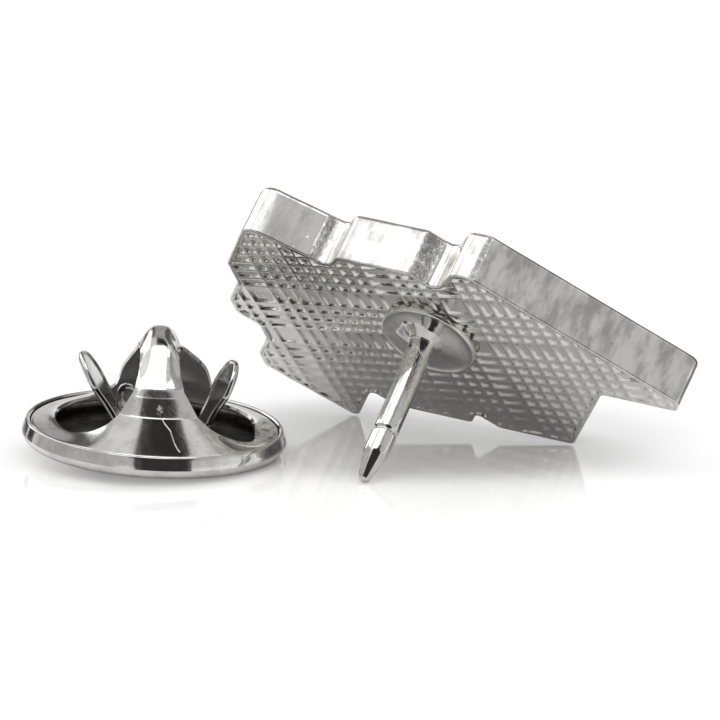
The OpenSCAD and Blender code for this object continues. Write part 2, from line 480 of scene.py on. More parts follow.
@dataclass(frozen=True)
class Nickel:
    """Nickel plating, near a mirror, over metal that isn't quite smooth.

    Attributes:
        name: The material's name.
        bright: Colour where the plating is bright.
        dull: Colour where it is dull.
        rough_low: Roughness where it is bright.
        rough_high: Roughness where it is dull.
        cloud: Clouds of dullness to a millimetre.
        smear: Clouds along z for one across it, so that they run along z where it is under 1.
        peel: Height of the slow waves.
        peel_scale: Slow waves to a millimetre.
        grain: Height of the grain.
        grain_scale: Grains to a millimetre.
        pit: Depth of the scattered pits.
        pit_scale: Pits to a millimetre.
        scratch: Depth of the fine scratches.
        worn: Worn spots, each with its place and reach.
        crinkle: Height of the worn spots' roughness.
        metal: How metallic it is.
        glow: Painted light that it gives off, which lifts the shade of a hollow that would be too dark.
        cut: Route of one deep scratch.
        cut_depth: Depth of that scratch.
    """

    name: str
    bright: Triple = (0.76, 0.745, 0.715)
    dull: Triple = (0.62, 0.605, 0.58)
    rough_low: float = 0.05
    rough_high: float = 0.16
    cloud: float = 1.3
    smear: float = 1.0
    peel: float = 0.006
    peel_scale: float = 1.6
    grain: float = 0.0008
    grain_scale: float = 14.0
    pit: float = 0.0
    pit_scale: float = 3.0
    scratch: float = 0.0
    worn: tuple[Triple, ...] = ()
    crinkle: float = 0.24
    metal: float = 1.0
    glow: float = 0.0
    cut: tuple[Pair, ...] = ()
    cut_depth: float = 0.005

    def pits(self, graph: Graph, place: Value) -> Value:
        """Depth of the scattered pits.

        Args:
            graph: The material's nodes.
            place: Where on the piece.

        Returns:
            The depth.
        """
        spots = graph.cells(place, self.pit_scale).rise(0.24, 0.08)
        sparse = graph.noise(place, self.pit_scale * 0.3, 1).rise(0.58, 0.68)
        return spots * sparse * self.pit

    def scratches(self, graph: Graph, place: Value) -> Value:
        """Depth of the fine scratches.

        Args:
            graph: The material's nodes.
            place: Where on the piece.

        Returns:
            The depth.
        """
        streaks = graph.stretched(place, (1.0, 9.0, 1.0), (0.2, 0.5, 0.9))
        return graph.noise(streaks, 2.4, 3, 0.7).band(0.49, 0.51, 0.012) * self.scratch

    def crinkles(self, graph: Graph, place: Value) -> Value:
        """Height of the rough marks at the worn spots.

        Args:
            graph: The material's nodes.
            place: Where on the piece.

        Returns:
            The height.
        """
        x, y, _ = graph.parts(place)
        drawn_out = graph.stretched(place, (1, 1, 0.6))
        rough = (graph.noise(drawn_out, 5.0, 4, 0.66, 1.2) - 0.5) * self.crinkle
        return rough * sum(apart(x, y, spot).rise(reach, 0.0) for *spot, reach in self.worn)

    def deep_scratch(self, graph: Graph, place: Value) -> Value:
        """Height of the one deep scratch, with a rough burr where it starts.

        Args:
            graph: The material's nodes.
            place: Where on the piece.

        Returns:
            The height, which is below 0 in the scratch.
        """
        x, y, _ = graph.parts(place)
        wander = (graph.noise(place, 2.5, 2) - 0.5) * 0.12
        burr = apart(x, y, self.cut[0]).rise(0.22, 0.05) * 0.014
        total = graph.noise(place, 9.0, 2, 0.6) * burr
        for (ax, ay), (bx, by) in zip(self.cut[:-1], self.cut[1:]):
            length = math.dist((ax, ay), (bx, by))
            ux, uy = (bx - ax) / length, (by - ay) / length
            along = (x - ax) * ux + (y - ay) * uy
            aside = abs((x - ax) * uy - (y - ay) * ux + wander)
            total = total - aside.rise(0.03, 0.0) * along.band(0.0, length, 0.04) * self.cut_depth
        return total

    def height(self, graph: Graph, place: Value) -> Value:
        """How far the surface stands proud, in millimetres.

        Args:
            graph: The material's nodes.
            place: Where on the piece.

        Returns:
            The height.
        """
        total = graph.noise(place, self.peel_scale, 2, 0.45) * self.peel
        total = total + graph.noise(place, self.grain_scale, 3, 0.6) * self.grain
        if self.pit:
            total = total - self.pits(graph, place)
        if self.scratch:
            total = total - self.scratches(graph, place)
        if self.worn:
            total = total + self.crinkles(graph, place)
        if self.cut:
            total = total + self.deep_scratch(graph, place)
        return total

    def wear(self, graph: Graph, place: Value) -> Value:
        """Share of dullness, from 0 where the plating is bright to 1 where it is dull."""
        drawn_out = graph.stretched(place, (1, 1, self.smear))
        return graph.noise(drawn_out, self.cloud, 4, 0.62).rise(0.36, 0.68)

    def material(self, place: Place) -> bpy.types.Material:
        """Make the material.

        Args:
            place: Where the pieces that wear it stand.

        Returns:
            The material.
        """
        material = bpy.data.materials.new(self.name)
        material.use_nodes = True
        graph = Graph(material.node_tree)
        own = place.coordinates(graph)
        wear = self.wear(graph, own)
        mottle = wear * 0.7 + graph.noise(own, self.grain_scale * 0.7, 2) * 0.3
        inputs = {
            "Base Color": graph.tint(self.bright, self.dull, wear),
            "Metallic": self.metal,
            # Painted light: only the hollow side gives off a glow.
            "Emission Color": (self.glow, self.glow, self.glow, 1),
            "Emission Strength": 1.0,
            "Roughness": mottle * (self.rough_high - self.rough_low) + self.rough_low,
            "Normal": graph.bumped(self.height(graph, own)),
        }
        surface = graph.add("ShaderNodeBsdfPrincipled", None, inputs)
        graph.add("ShaderNodeOutputMaterial", None, {0: surface.outputs[0]})
        return material


CAST_WALL = Nickel(
    "cast_wall", bright=(0.85, 0.835, 0.805), dull=(0.49, 0.477, 0.458), rough_low=0.06, rough_high=0.22,
    cloud=1.6, smear=0.4, peel=0.0035, peel_scale=1.0, grain=0.0007, pit=0.004, pit_scale=3.2,
)
CAST_BACK = Nickel(
    "cast_back", bright=(0.8, 0.785, 0.755), dull=(0.7, 0.685, 0.66), rough_low=0.08, rough_high=0.2,
    cloud=0.6, peel=0.005, peel_scale=2.2, grain=0.0012, grain_scale=9.0,
)
CAST_FRONT = Nickel("satin_front", rough_low=0.26, rough_high=0.36, cloud=0.35, peel=0.004, grain=0.0012)
SOLDER = Nickel(
    "soldered_pad", rough_low=0.06, rough_high=0.2, peel=0.012, peel_scale=1.3, grain=0.0006, pit=0.01,
)
DRAWN = Nickel(
    "drawn_post", rough_low=0.04, rough_high=0.12, peel=0.01, peel_scale=1.8, grain=0.0005,
    pit=0.008, pit_scale=2.0,
)
PRESSED = Nickel(
    "pressed_sheet", rough_low=0.03, rough_high=0.09, peel=0.003, peel_scale=0.7, grain=0.0003,
    scratch=0.0002,
)
SPRUNG = Nickel("sprung_sheet", rough_low=0.05, rough_high=0.16, peel=0.01, peel_scale=1.6, grain=0.0006)
# Painted shade and painted light: the inner side of the crown's sheet is darker than its outer side, and
# gives off a faint glow that lifts its shade.
HOLLOW_PAINTED_SHADE_AND_GLOW = Nickel(
    "hollow_side_painted_shade_and_glow", bright=(0.66, 0.65, 0.64), dull=(0.5, 0.49, 0.48), rough_low=0.3, rough_high=0.42,
    peel=0.004, metal=0.7, glow=0.02,
)
# Painted shade: a near-black copy of the nickel for the inner side of the clutch's pan, which stands for the
# shade inside it.
PAN_FLOOR_PAINTED_SHADE = Nickel(
    "pan_floor_painted_shade", bright=(0.36, 0.35, 0.34), dull=(0.14, 0.135, 0.13), rough_low=0.14, rough_high=0.32,
    peel=0.01,
)


def dress(piece: bpy.types.Object, place: Place, *finishes: Nickel) -> None:
    """Give a piece its finishes, in the order of its faces' numbers."""
    for finish in finishes:
        piece.data.materials.append(finish.material(place))


class Heading(Enum):
    """Directions of the outline's edges, in degrees from the plate's floor line."""

    LEVEL = -8.0
    LEVEL_BACK = 172.0
    RAKE = -43.0
    RAKE_BACK = 137.0
    RISE = 56.0
    RISE_BACK = 236.0
    NOTCH_BACK = 228.0
    SHOULDER = 147.0
    DOWN = -90.0


@dataclass(frozen=True)
class Run:
    """One straight run of the outline: its length, direction, and how soft the corner before it is."""

    length: float
    heading: Heading
    softness: float

    def step(self) -> np.ndarray:
        """The run as a vector."""
        angle = math.radians(self.heading.value)
        return self.length * np.array([math.cos(angle), math.sin(angle)])


OUTLINE = (
    Run(2.6, Heading.RISE, 1), Run(1.3, Heading.RAKE, 1), Run(3.7, Heading.LEVEL, 1),
    Run(0.842, Heading.RISE, 0.7), Run(1.2, Heading.RAKE, 0.7), Run(3.55, Heading.LEVEL, 1),
    Run(4.9, Heading.RISE, 1), Run(3.5, Heading.LEVEL, 1), Run(0.75, Heading.RISE, 0.6),
    Run(10.6, Heading.RAKE_BACK, 1.3), Run(0.95, Heading.LEVEL_BACK, 1.8),
    Run(1.7, Heading.NOTCH_BACK, 1.5), Run(1.45, Heading.RAKE_BACK, 1.5),
    Run(3.42, Heading.LEVEL_BACK, 1.2), Run(0.95, Heading.NOTCH_BACK, 1.2),
    Run(4.05, Heading.SHOULDER, 1.4), Run(3.54, Heading.RISE_BACK, 1.9), Run(1.34, Heading.DOWN, 0.9),
    Run(1.64, Heading.RISE_BACK, 1), Run(0.9, Heading.DOWN, 1), Run(1.2, Heading.RAKE, 1),
    Run(0.9, Heading.DOWN, 1), Run(1.5, Heading.RISE_BACK, 1), Run(0.85, Heading.DOWN, 1),
    Run(4.74, Heading.RAKE, 1),
)


class Side(IntEnum):
    """Sides of the plate, in the order of their finishes."""

    WALL = 0
    HATCH = 1
    BORDER = 2
    FRONT = 3


@dataclass
class Hatch:
    """Ridges that cross the plate's back, with pits between them.

    Attributes:
        pitch_u: Spacing of the ridges along the plate.
        pitch_v: Spacing of the ridges up the plate.
        turned: Degrees that the hatch is turned from the floor line.
        origin: Where two ridges cross.
        repeat: Ridges to one repeat of the tartan.
        missing: Ridges left out of each repeat.
        reach: Ridges on each side of the origin.
        pit_steps: Rings of a pit: how far in from the ridge's middle, and how far down from the last.
        least_cell: Width of the narrowest cell that gets a pit.
        shrink: How much of a cell's half width its rings may take.
        weld: Distance within which a cut takes a point that is there.
    """

    pitch_u: float = 0.63
    pitch_v: float = 0.57
    turned: float = 5.4
    origin: Pair = (-2.33, 7.6)
    repeat: int = 16
    missing: tuple[int, ...] = (1, 12)
    reach: int = 48
    pit_steps: tuple[Pair, ...] = (
        (0.055, 0), (0.065, 0.005), (0.11, 0.045), (0.155, 0.085), (0.166, 0.09), (0.2, 0.092),
    )
    least_cell: float = 0.2
    shrink: float = 0.96
    weld: float = 0.004

    def axes(self) -> tuple[tuple[Vector, float], tuple[Vector, float]]:
        """The two directions across the ridges, each with its spacing.

        Returns:
            The direction along the plate, and then the one up it.
        """
        angle = math.radians(self.turned)
        along = Vector((math.cos(angle), math.sin(angle), 0))
        across = Vector((-math.sin(angle), math.cos(angle), 0))
        return (along, self.pitch_u), (across, self.pitch_v)

    def carve(self, work: bmesh.types.BMesh) -> None:
        """Cut the hatched faces into cells, and sink the middle of each.

        Args:
            work: The plate's mesh.
        """
        start = Vector((*self.origin, 0))
        for across, pitch in self.axes():
            for k in range(-self.reach, self.reach):
                if k % self.repeat not in self.missing:
                    self.split(work, start + across * k * pitch, across)
        for cell in [face for face in work.faces if face.material_index == Side.HATCH]:
            self.sink(work, cell)

    def split(self, work: bmesh.types.BMesh, spot: Vector, across: Vector) -> None:
        """Cut the hatched faces along one line.

        Args:
            work: The plate's mesh.
            spot: A place on the line.
            across: The direction across it.
        """
        faces = [face for face in work.faces if face.material_index == Side.HATCH]
        edges = dict.fromkeys(edge for face in faces for edge in face.edges)
        corners = dict.fromkeys(corner for face in faces for corner in face.verts)
        geometry = [*faces, *edges, *corners]
        bmesh.ops.bisect_plane(work, geom=geometry, dist=self.weld, plane_co=spot, plane_no=across)

    def sink(self, work: bmesh.types.BMesh, cell: bmesh.types.BMFace) -> None:
        """Sink the middle of a cell, if it is wide enough, by rings that shrink towards its middle.

        Args:
            work: The plate's mesh.
            cell: The cell.
        """
        middle = cell.calc_center_median_weighted()
        spans = []
        for across, _ in self.axes():
            reach = [(corner.co - middle).dot(across) for corner in cell.verts]
            spans.append((across, max(reach) - min(reach)))
        if min(width for _, width in spans) < self.least_cell:
            return
        corners, ring = [corner.co.copy() for corner in cell.verts], list(cell.verts)
        work.faces.remove(cell)
        for margin, depth in self.pit_steps:
            inner = []
            for corner in corners:
                moved = corner.copy()
                for across, width in spans:
                    moved -= across * (corner - middle).dot(across) * min(self.shrink, 2 * margin / width)
                moved.z -= depth
                inner.append(work.verts.new(moved))
            for k in range(len(ring)):
                after = (k + 1) % len(ring)
                wall = work.faces.new((ring[k], ring[after], inner[after], inner[k]))
                wall.material_index = Side.HATCH
            ring = inner
        work.faces.new(ring).material_index = Side.HATCH


@dataclass
class Plate:
    """Cast emblem plate with a cross-hatched back and a plain front.

    Attributes:
        place: Where it stands.
        thickness: Its thickness.
        corner: Radius of a corner whose softness is 1.
        least_corner: The least radius of a corner, once the outline is moved inwards.
        drop: How far the outline's first corner lies below the plate's origin.
        border: Width of the plain border round the hatch.
        arc_steps: Faces to a corner.
        step: Length of the faces between corners.
        back_round: Radius of the edge at the back.
        front_round: Radius of the edge at the front.
        wave: How far the cast edge wanders in and out.
        crowd: Distance within which the corners inside the border are merged.
        uneven: How far the cast back wanders up and down.
        worn: Worn spots on the wall: corner of the outline, how far along from it, and reach.
        hatch: The hatch.
    """

    place: Place
    thickness: float = 2.5
    corner: float = 0.34
    least_corner: float = 0.03
    drop: float = 0.168
    border: float = 0.15
    arc_steps: int = 7
    step: float = 0.4
    back_round: float = 0.05
    front_round: float = 0.24
    wave: float = 0.014
    crowd: float = 0.05
    uneven: float = 0.012
    worn: tuple[tuple[int, float, float], ...] = (
        (10, 0.0, 0.2), (13, -0.3, 0.45), (13, -0.7, 0.3),
        (15, 0.66, 0.22), (15, 0.85, 0.15), (16, 0.0, 0.25),
    )
    hatch: Hatch = field(default_factory=Hatch)

    def sharp(self, inset: float) -> np.ndarray:
        """The outline's corners before rounding.

        Args:
            inset: How far the outline is moved inwards.

        Returns:
            The corners, in order round.
        """
        loop = [np.array([0.0, -self.drop])]
        for run in OUTLINE[:-1]:
            loop.append(loop[-1] + run.step())
        moved = []
        for k, corner in enumerate(loop):
            into, out = corner - loop[k - 1], loop[(k + 1) % len(loop)] - corner
            into, out = into / np.linalg.norm(into), out / np.linalg.norm(out)
            a, b = np.array([-into[1], into[0]]), np.array([-out[1], out[0]])
            moved.append(corner + (a + b) * inset / (1 + a @ b))
        return np.array(moved)

    def arcs(self, inset: float) -> list[np.ndarray]:
        """The rounding of each corner of the outline.

        Args:
            inset: How far the outline is moved inwards.

        Returns:
            The points of each corner's arc.
        """
        loop = self.sharp(inset)
        arcs = []
        for k, corner in enumerate(loop):
            back, ahead = loop[k - 1] - corner, loop[(k + 1) % len(loop)] - corner
            back, ahead = back / np.linalg.norm(back), ahead / np.linalg.norm(ahead)
            half = math.acos(float(back @ ahead)) / 2
            side = math.copysign(1, float(ahead[0] * back[1] - ahead[1] * back[0]))
            radius = max(self.corner * OUTLINE[k].softness - side * inset, self.least_corner)
            middle = corner + (back + ahead) / np.linalg.norm(back + ahead) * radius / math.sin(half)
            x, y = corner + back * radius / math.tan(half) - middle
            sweep = (math.pi - 2 * half) * side
            turns = [sweep * i / self.arc_steps for i in range(self.arc_steps + 1)]
            spokes = [(x * math.cos(t) - y * math.sin(t), x * math.sin(t) + y * math.cos(t)) for t in turns]
            arcs.append(middle + np.array(spokes))
        return arcs

    def ring(self, inset: float) -> np.ndarray:
        """The rounded outline, with the same number of points at any inset.

        Args:
            inset: How far it is moved inwards.

        Returns:
            Its points, in order round.
        """
        outer, arcs = self.arcs(0), self.arcs(inset)
        points = []
        for k, arc in enumerate(arcs):
            points.extend(arc)
            after = (k + 1) % len(arcs)
            count = max(1, round(float(np.linalg.norm(outer[after][0] - outer[k][-1])) / self.step))
            for i in range(1, count):
                points.append(arc[-1] + (arcs[after][0] - arc[-1]) * i / count)
        return np.array(points)

    def edge_path(self) -> list[Pair]:
        """Section of the plate's edge, from back to front.

        Returns:
            How far in from the outline, and height, of each point.
        """
        r, f, t = self.back_round, self.front_round, self.thickness
        quarter = [math.radians(90 * i / 4) for i in range(5)]
        path = [(self.border, 0.0), (r + 0.02, 0.0)]
        path += [(r - r * math.sin(a), r * math.cos(a) - r) for a in quarter]
        path += [(0.0, float(z)) for z in np.linspace(-r - 0.05, -t + f + 0.05, 8)]
        path += [(f - f * math.cos(a), -t + f - f * math.sin(a)) for a in quarter]
        return [*path, (f + 0.02, -t), (f + 0.06, -t)]

    def waved(self, inset: float, height: float) -> list[Triple]:
        """One ring of the edge, moved in and out a little as a cast edge is.

        Args:
            inset: How far in from the outline.
            height: Its height.

        Returns:
            Its points.
        """
        ring = self.ring(inset)
        share = self.wave if inset < self.border else 0
        moved = []
        for (x, y), side in zip(ring, outwards(ring)):
            push = share * noise.noise(Vector((x, y, height)) * 1.3)
            moved.append((x + side[0] * push, y + side[1] * push, height))
        return moved

    def carve(self, work: bmesh.types.BMesh) -> None:
        """Thin the crowded corners inside the border, then cut the hatch.

        Args:
            work: The plate's mesh.
        """
        bmesh.ops.recalc_face_normals(work, faces=work.faces)
        back = [face for face in work.faces if face.material_index == Side.HATCH]
        corners = list(dict.fromkeys(corner for face in back for corner in face.verts))
        bmesh.ops.remove_doubles(work, verts=corners, dist=self.crowd)
        self.hatch.carve(work)
        for corner in work.verts:
            if corner.co.z > -0.2:
                spot = corner.co * 1.1
                corner.co.z += self.uneven * noise.noise(Vector((spot.x, spot.y, 3.0)))

    def worn_spots(self) -> tuple[Triple, ...]:
        """The worn spots on the wall.

        Returns:
            The place and reach of each.
        """
        corners = self.sharp(0)
        spots = []
        for k, along, reach in self.worn:
            ahead = OUTLINE[k if along > 0 else k - 1].step()
            spots.append((*(corners[k] + along * ahead / np.linalg.norm(ahead)), reach))
        return tuple(spots)

    def build(self) -> None:
        """Make the plate and dress it."""
        skin = Skin()
        path = self.edge_path()
        index = skin.grid([self.waved(inset, height) for inset, height in path])
        skin.finishes = [
            int(Side.BORDER if inset < self.border and height == 0 else Side.WALL)
            for inset, height in path[:-1]
            for _ in index[0]
        ]
        skin.face(index[0], Side.HATCH)
        skin.face(index[-1][::-1], Side.FRONT)
        piece = skin.finished("plate", self.place, self.carve)
        wall = replace(CAST_WALL, worn=self.worn_spots())
        dress(piece, self.place, wall, CAST_BACK, CAST_BACK, CAST_FRONT)
        enlist(piece, "badge", Body.PIN)


@dataclass
class Post:
    """Post with its soldered pad.

    Attributes:
        place: Where the plate stands.
        pad_spot: Middle of the pad on the plate.
        pad_r: Radius of the pad.
        pad_h: Height of the pad.
        pad_edge: Radius beyond which the pad's edge ripples.
        tip_spot: Where the tip stands over the plate.
        reach: Height of the tip over the plate.
        foot_shift: How far the foot stands aside of the tip.
        bow: How far the post's middle bows out.
        around: Faces round the pad and the post.
        solder_h: Height that the solder's lumps reach.
        facet_z: Height where the flats begin.
        facet_cut: Depth of the flats.
        facet_run: Height over which they reach that depth.
        facet_turn: Direction of the first flat, in degrees.
        facets: Number of flats.
        row_gap: Height between rows.
        sections: Height and radius of the post.
    """

    place: Place
    pad_spot: Pair = (6.18, 6.72)
    pad_r: float = 2.2
    pad_h: float = 0.3
    pad_edge: float = 1.8
    tip_spot: Pair = (6.36, 6.88)
    reach: float = 8.0
    foot_shift: float = 0.35
    bow: float = 0.08
    around: int = 96
    solder_h: float = 1.3
    facet_z: float = 6.6
    facet_cut: float = 0.036
    facet_run: float = 0.1
    facet_turn: float = 56.0
    facets: int = 8
    row_gap: float = 0.1
    sections: tuple[Pair, ...] = (
        (0.12, 1.35), (0.2, 1.26), (0.3, 1.08), (0.42, 0.86), (0.5, 0.72), (0.54, 0.64), (0.57, 0.6),
        (0.61, 0.575), (0.7, 0.562), (1.0, 0.56), (5.26, 0.56), (5.31, 0.555), (5.37, 0.47), (5.46, 0.465),
        (5.52, 0.545), (5.56, 0.56), (6.3, 0.56), (6.62, 0.54), (7.0, 0.475), (7.4, 0.395), (7.75, 0.32),
        (7.9, 0.28), (7.96, 0.23), (7.99, 0.16), (8.0, 0.06),
    )

    def angles(self) -> list[float]:
        """Directions of the points of a ring."""
        return [math.tau * k / self.around for k in range(self.around)]

    def pad_section(self) -> list[Pair]:
        """Section of the pad from its underside to its middle.

        Returns:
            Radius and height of each point.
        """
        r, h = self.pad_r, self.pad_h
        corners = [
            (r - 0.22, -0.1), (r - 0.2, 0.03), (r - 0.05, 0.08), (r, 0.14), (r, h - 0.08), (r - 0.03, h),
            (r - 0.12, h + 0.01), (r - 0.2, h - 0.03), (r - 0.35, h - 0.05), (1.5, h - 0.04), (1.2, h),
            (0.9, h + 0.05), (0.3, h + 0.1),
        ]
        return softened(corners, 2)

    def pad_ring(self, radius: float, height: float) -> list[Triple]:
        """One ring of the pad, uneven as solder is.

        Args:
            radius: Its radius.
            height: Its height.

        Returns:
            Its points.
        """
        row = []
        for a in self.angles():
            ripple = noise.noise(Vector((math.cos(a) * 1.2, math.sin(a) * 1.2, height)))
            r = radius + (0.04 * ripple if radius > self.pad_edge else 0)
            lift = noise.noise(Vector((radius * math.cos(a), radius * math.sin(a), 7.0)) * 0.9)
            row.append((r * math.cos(a), r * math.sin(a), height + 0.02 * lift))
        return row

    def build_pad(self) -> None:
        """Make the pad and dress it."""
        skin = Skin()
        index = skin.grid([self.pad_ring(radius, height) for radius, height in self.pad_section()])
        skin.cap(index[-1], (0, 0, self.pad_h + 0.1))
        piece = skin.finished("solder_pad", self.place.inside(shift(*self.pad_spot, 0)))
        dress(piece, self.place, SOLDER)
        enlist(piece, "badge", Body.PIN)

    def ring(self, height: float) -> list[Triple]:
        """One ring of the post, with the solder's ripples at its foot and its flats at the tip.

        Args:
            height: Its height.

        Returns:
            Its points.
        """
        radius = table(self.sections, height)
        solder = max(0.0, 1 - height / self.solder_h)
        facet = radius - self.facet_cut * min(1.0, max(0.0, (height - self.facet_z) / self.facet_run))
        middle = self.bow * math.sin(math.pi * min(height / self.reach, 1))
        wide = 360 / self.facets
        row = []
        for a in self.angles():
            ripple = noise.noise(Vector((math.cos(a) * 1.4, math.sin(a) * 1.4, height * 0.8 + 2)))
            lumps = noise.noise(Vector((math.cos(a) * 3, math.sin(a) * 3, height * 2.5)))
            r = radius * (1 + solder * (0.1 * ripple + 0.07 * lumps) + 0.012 * ripple)
            beside = (math.degrees(a) - self.facet_turn + wide / 2) % wide - wide / 2
            r = min(r, facet / math.cos(math.radians(beside))) if facet < radius else r
            row.append((middle + r * math.cos(a), r * math.sin(a), height))
        return row

    def build_post(self) -> None:
        """Make the post and dress it."""
        lean = math.degrees(math.atan(self.foot_shift / self.reach))
        moves = shift(*self.tip_spot, self.reach), turn(lean, "Y"), shift(0, 0, -self.reach)
        place = self.place.inside(*moves)
        rows = np.arange(2 * self.row_gap, self.reach - self.row_gap, self.row_gap)
        heights = sorted({round(z, 3) for z in (*[row[0] for row in self.sections], *rows)})
        skin = Skin()
        index = skin.grid([self.ring(height) for height in heights])
        skin.cap(index[-1], (0, 0, self.reach + 0.005))
        skin.cap(index[0][::-1], (0, 0, self.sections[0][0]))
        piece = skin.finished("post", place)
        dress(piece, place, DRAWN)
        enlist(piece, "badge", Body.PIN)

    def build(self) -> None:
        """Make both pieces."""
        self.build_pad()
        self.build_post()


@dataclass
class ClutchBase:
    """Pressed pan of the clutch, with its rim rolled over the crown's edge.

    Attributes:
        place: Where the clutch stands.
        hole_r: Radius of the post's hole.
        sheet: Thickness of the sheet.
        belly_r: Radius of the rounded belly.
        belly_drop: How far the belly hangs below the rim.
        collar: Height of the collar round the hole.
        collar_t: Thickness of the collar.
        around: Faces round the axis.
        rim: Radius and height of the rolled rim, from the underside over its top.
        crease: Row of the rim that stays a crease.
    """

    place: Place
    hole_r: float = 0.66
    sheet: float = 0.22
    belly_r: float = 3.6
    belly_drop: float = 0.3
    collar: float = 0.34
    collar_t: float = 0.13
    around: int = 192
    rim: tuple[Pair, ...] = (
        (4.9, 0.0), (5.3, 0.0), (5.52, 0.07), (5.68, 0.24), (5.775, 0.47), (5.75, 0.6), (5.68, 0.82),
        (5.64, 0.95), (5.59, 1.02), (5.5, 1.02), (5.44, 0.95),
    )
    crease: int = 4

    def belly(self, radius: float) -> float:
        """Height of the underside at a distance from the axis."""
        ball = (self.belly_r**2 + self.belly_drop**2) / (2 * self.belly_drop)
        return ball - self.belly_drop - math.sqrt(ball**2 - radius**2)

    def sections(self) -> tuple[list[Pair], list[Pair]]:
        """Sections of the base, each from the hole or the roll to the other.

        Returns:
            Radius and height of the outer side, and then of the hollow side.
        """
        t, hole = self.sheet, self.hole_r
        radii = [float(r) for r in np.linspace(hole, self.belly_r, 10)]
        low, high = softened(self.rim[: self.crease + 1], 2), softened(self.rim[self.crease :], 2)
        outer = [(hole, self.collar), *[(r, self.belly(r)) for r in radii], (4.3, 0.0), *low, *high[1:]]
        under = ((5.5, 0.86), (5.56, 0.5), (5.4, t + 0.06), (5.0, t), (4.3, t), (self.belly_r, t))
        inner = softened((self.rim[-1], *under), 2) + [(r, self.belly(r) + t) for r in radii[-2:1:-1]]
        bend = (hole + t, self.belly(hole) + t + 0.1)
        return outer, [*inner, bend, (hole + self.collar_t, self.collar), (hole, self.collar)]

    def turned(self, section: Sequence[Pair]) -> list[list[Triple]]:
        """A section turned about the axis."""
        angles = [math.tau * k / self.around for k in range(self.around)]
        return [[(r * math.cos(a), r * math.sin(a), z) for a in angles] for r, z in section]

    def build(self) -> None:
        """Make the base and dress it."""
        outer, inner = self.sections()
        skin = Skin()
        first = skin.grid(self.turned(outer)[::-1])
        second = skin.grid(self.turned(inner[1:-1])[::-1], finish=1)
        skin.strip(second[-1], first[0], finish=1)
        skin.strip(first[-1], second[0], finish=1)
        piece = skin.finished("clutch_base", self.place)
        # The pan's inner side wears painted shade.
        dress(piece, self.place, PRESSED, PAN_FLOOR_PAINTED_SHADE)
        enlist(piece, "clutch_base", Body.PIN)


class Quarter(Enum):
    """Quarters of the crown's legs, in order round from the middle of the front leg."""

    FRONT_RIGHT = 0
    BACK_RIGHT = 1
    BACK_LEFT = 2
    FRONT_LEFT = 3


@dataclass(frozen=True)
class LegWidth:
    """Half widths of the crown's legs at a distance from the axis."""

    far: float
    front: float
    back_left: float
    back_right: float

    def at(self, quarter: Quarter) -> float:
        """Half width in one quarter. The front leg has the same on both sides."""
        back = {Quarter.BACK_LEFT: self.back_left, Quarter.BACK_RIGHT: self.back_right}
        return back.get(quarter, self.front)


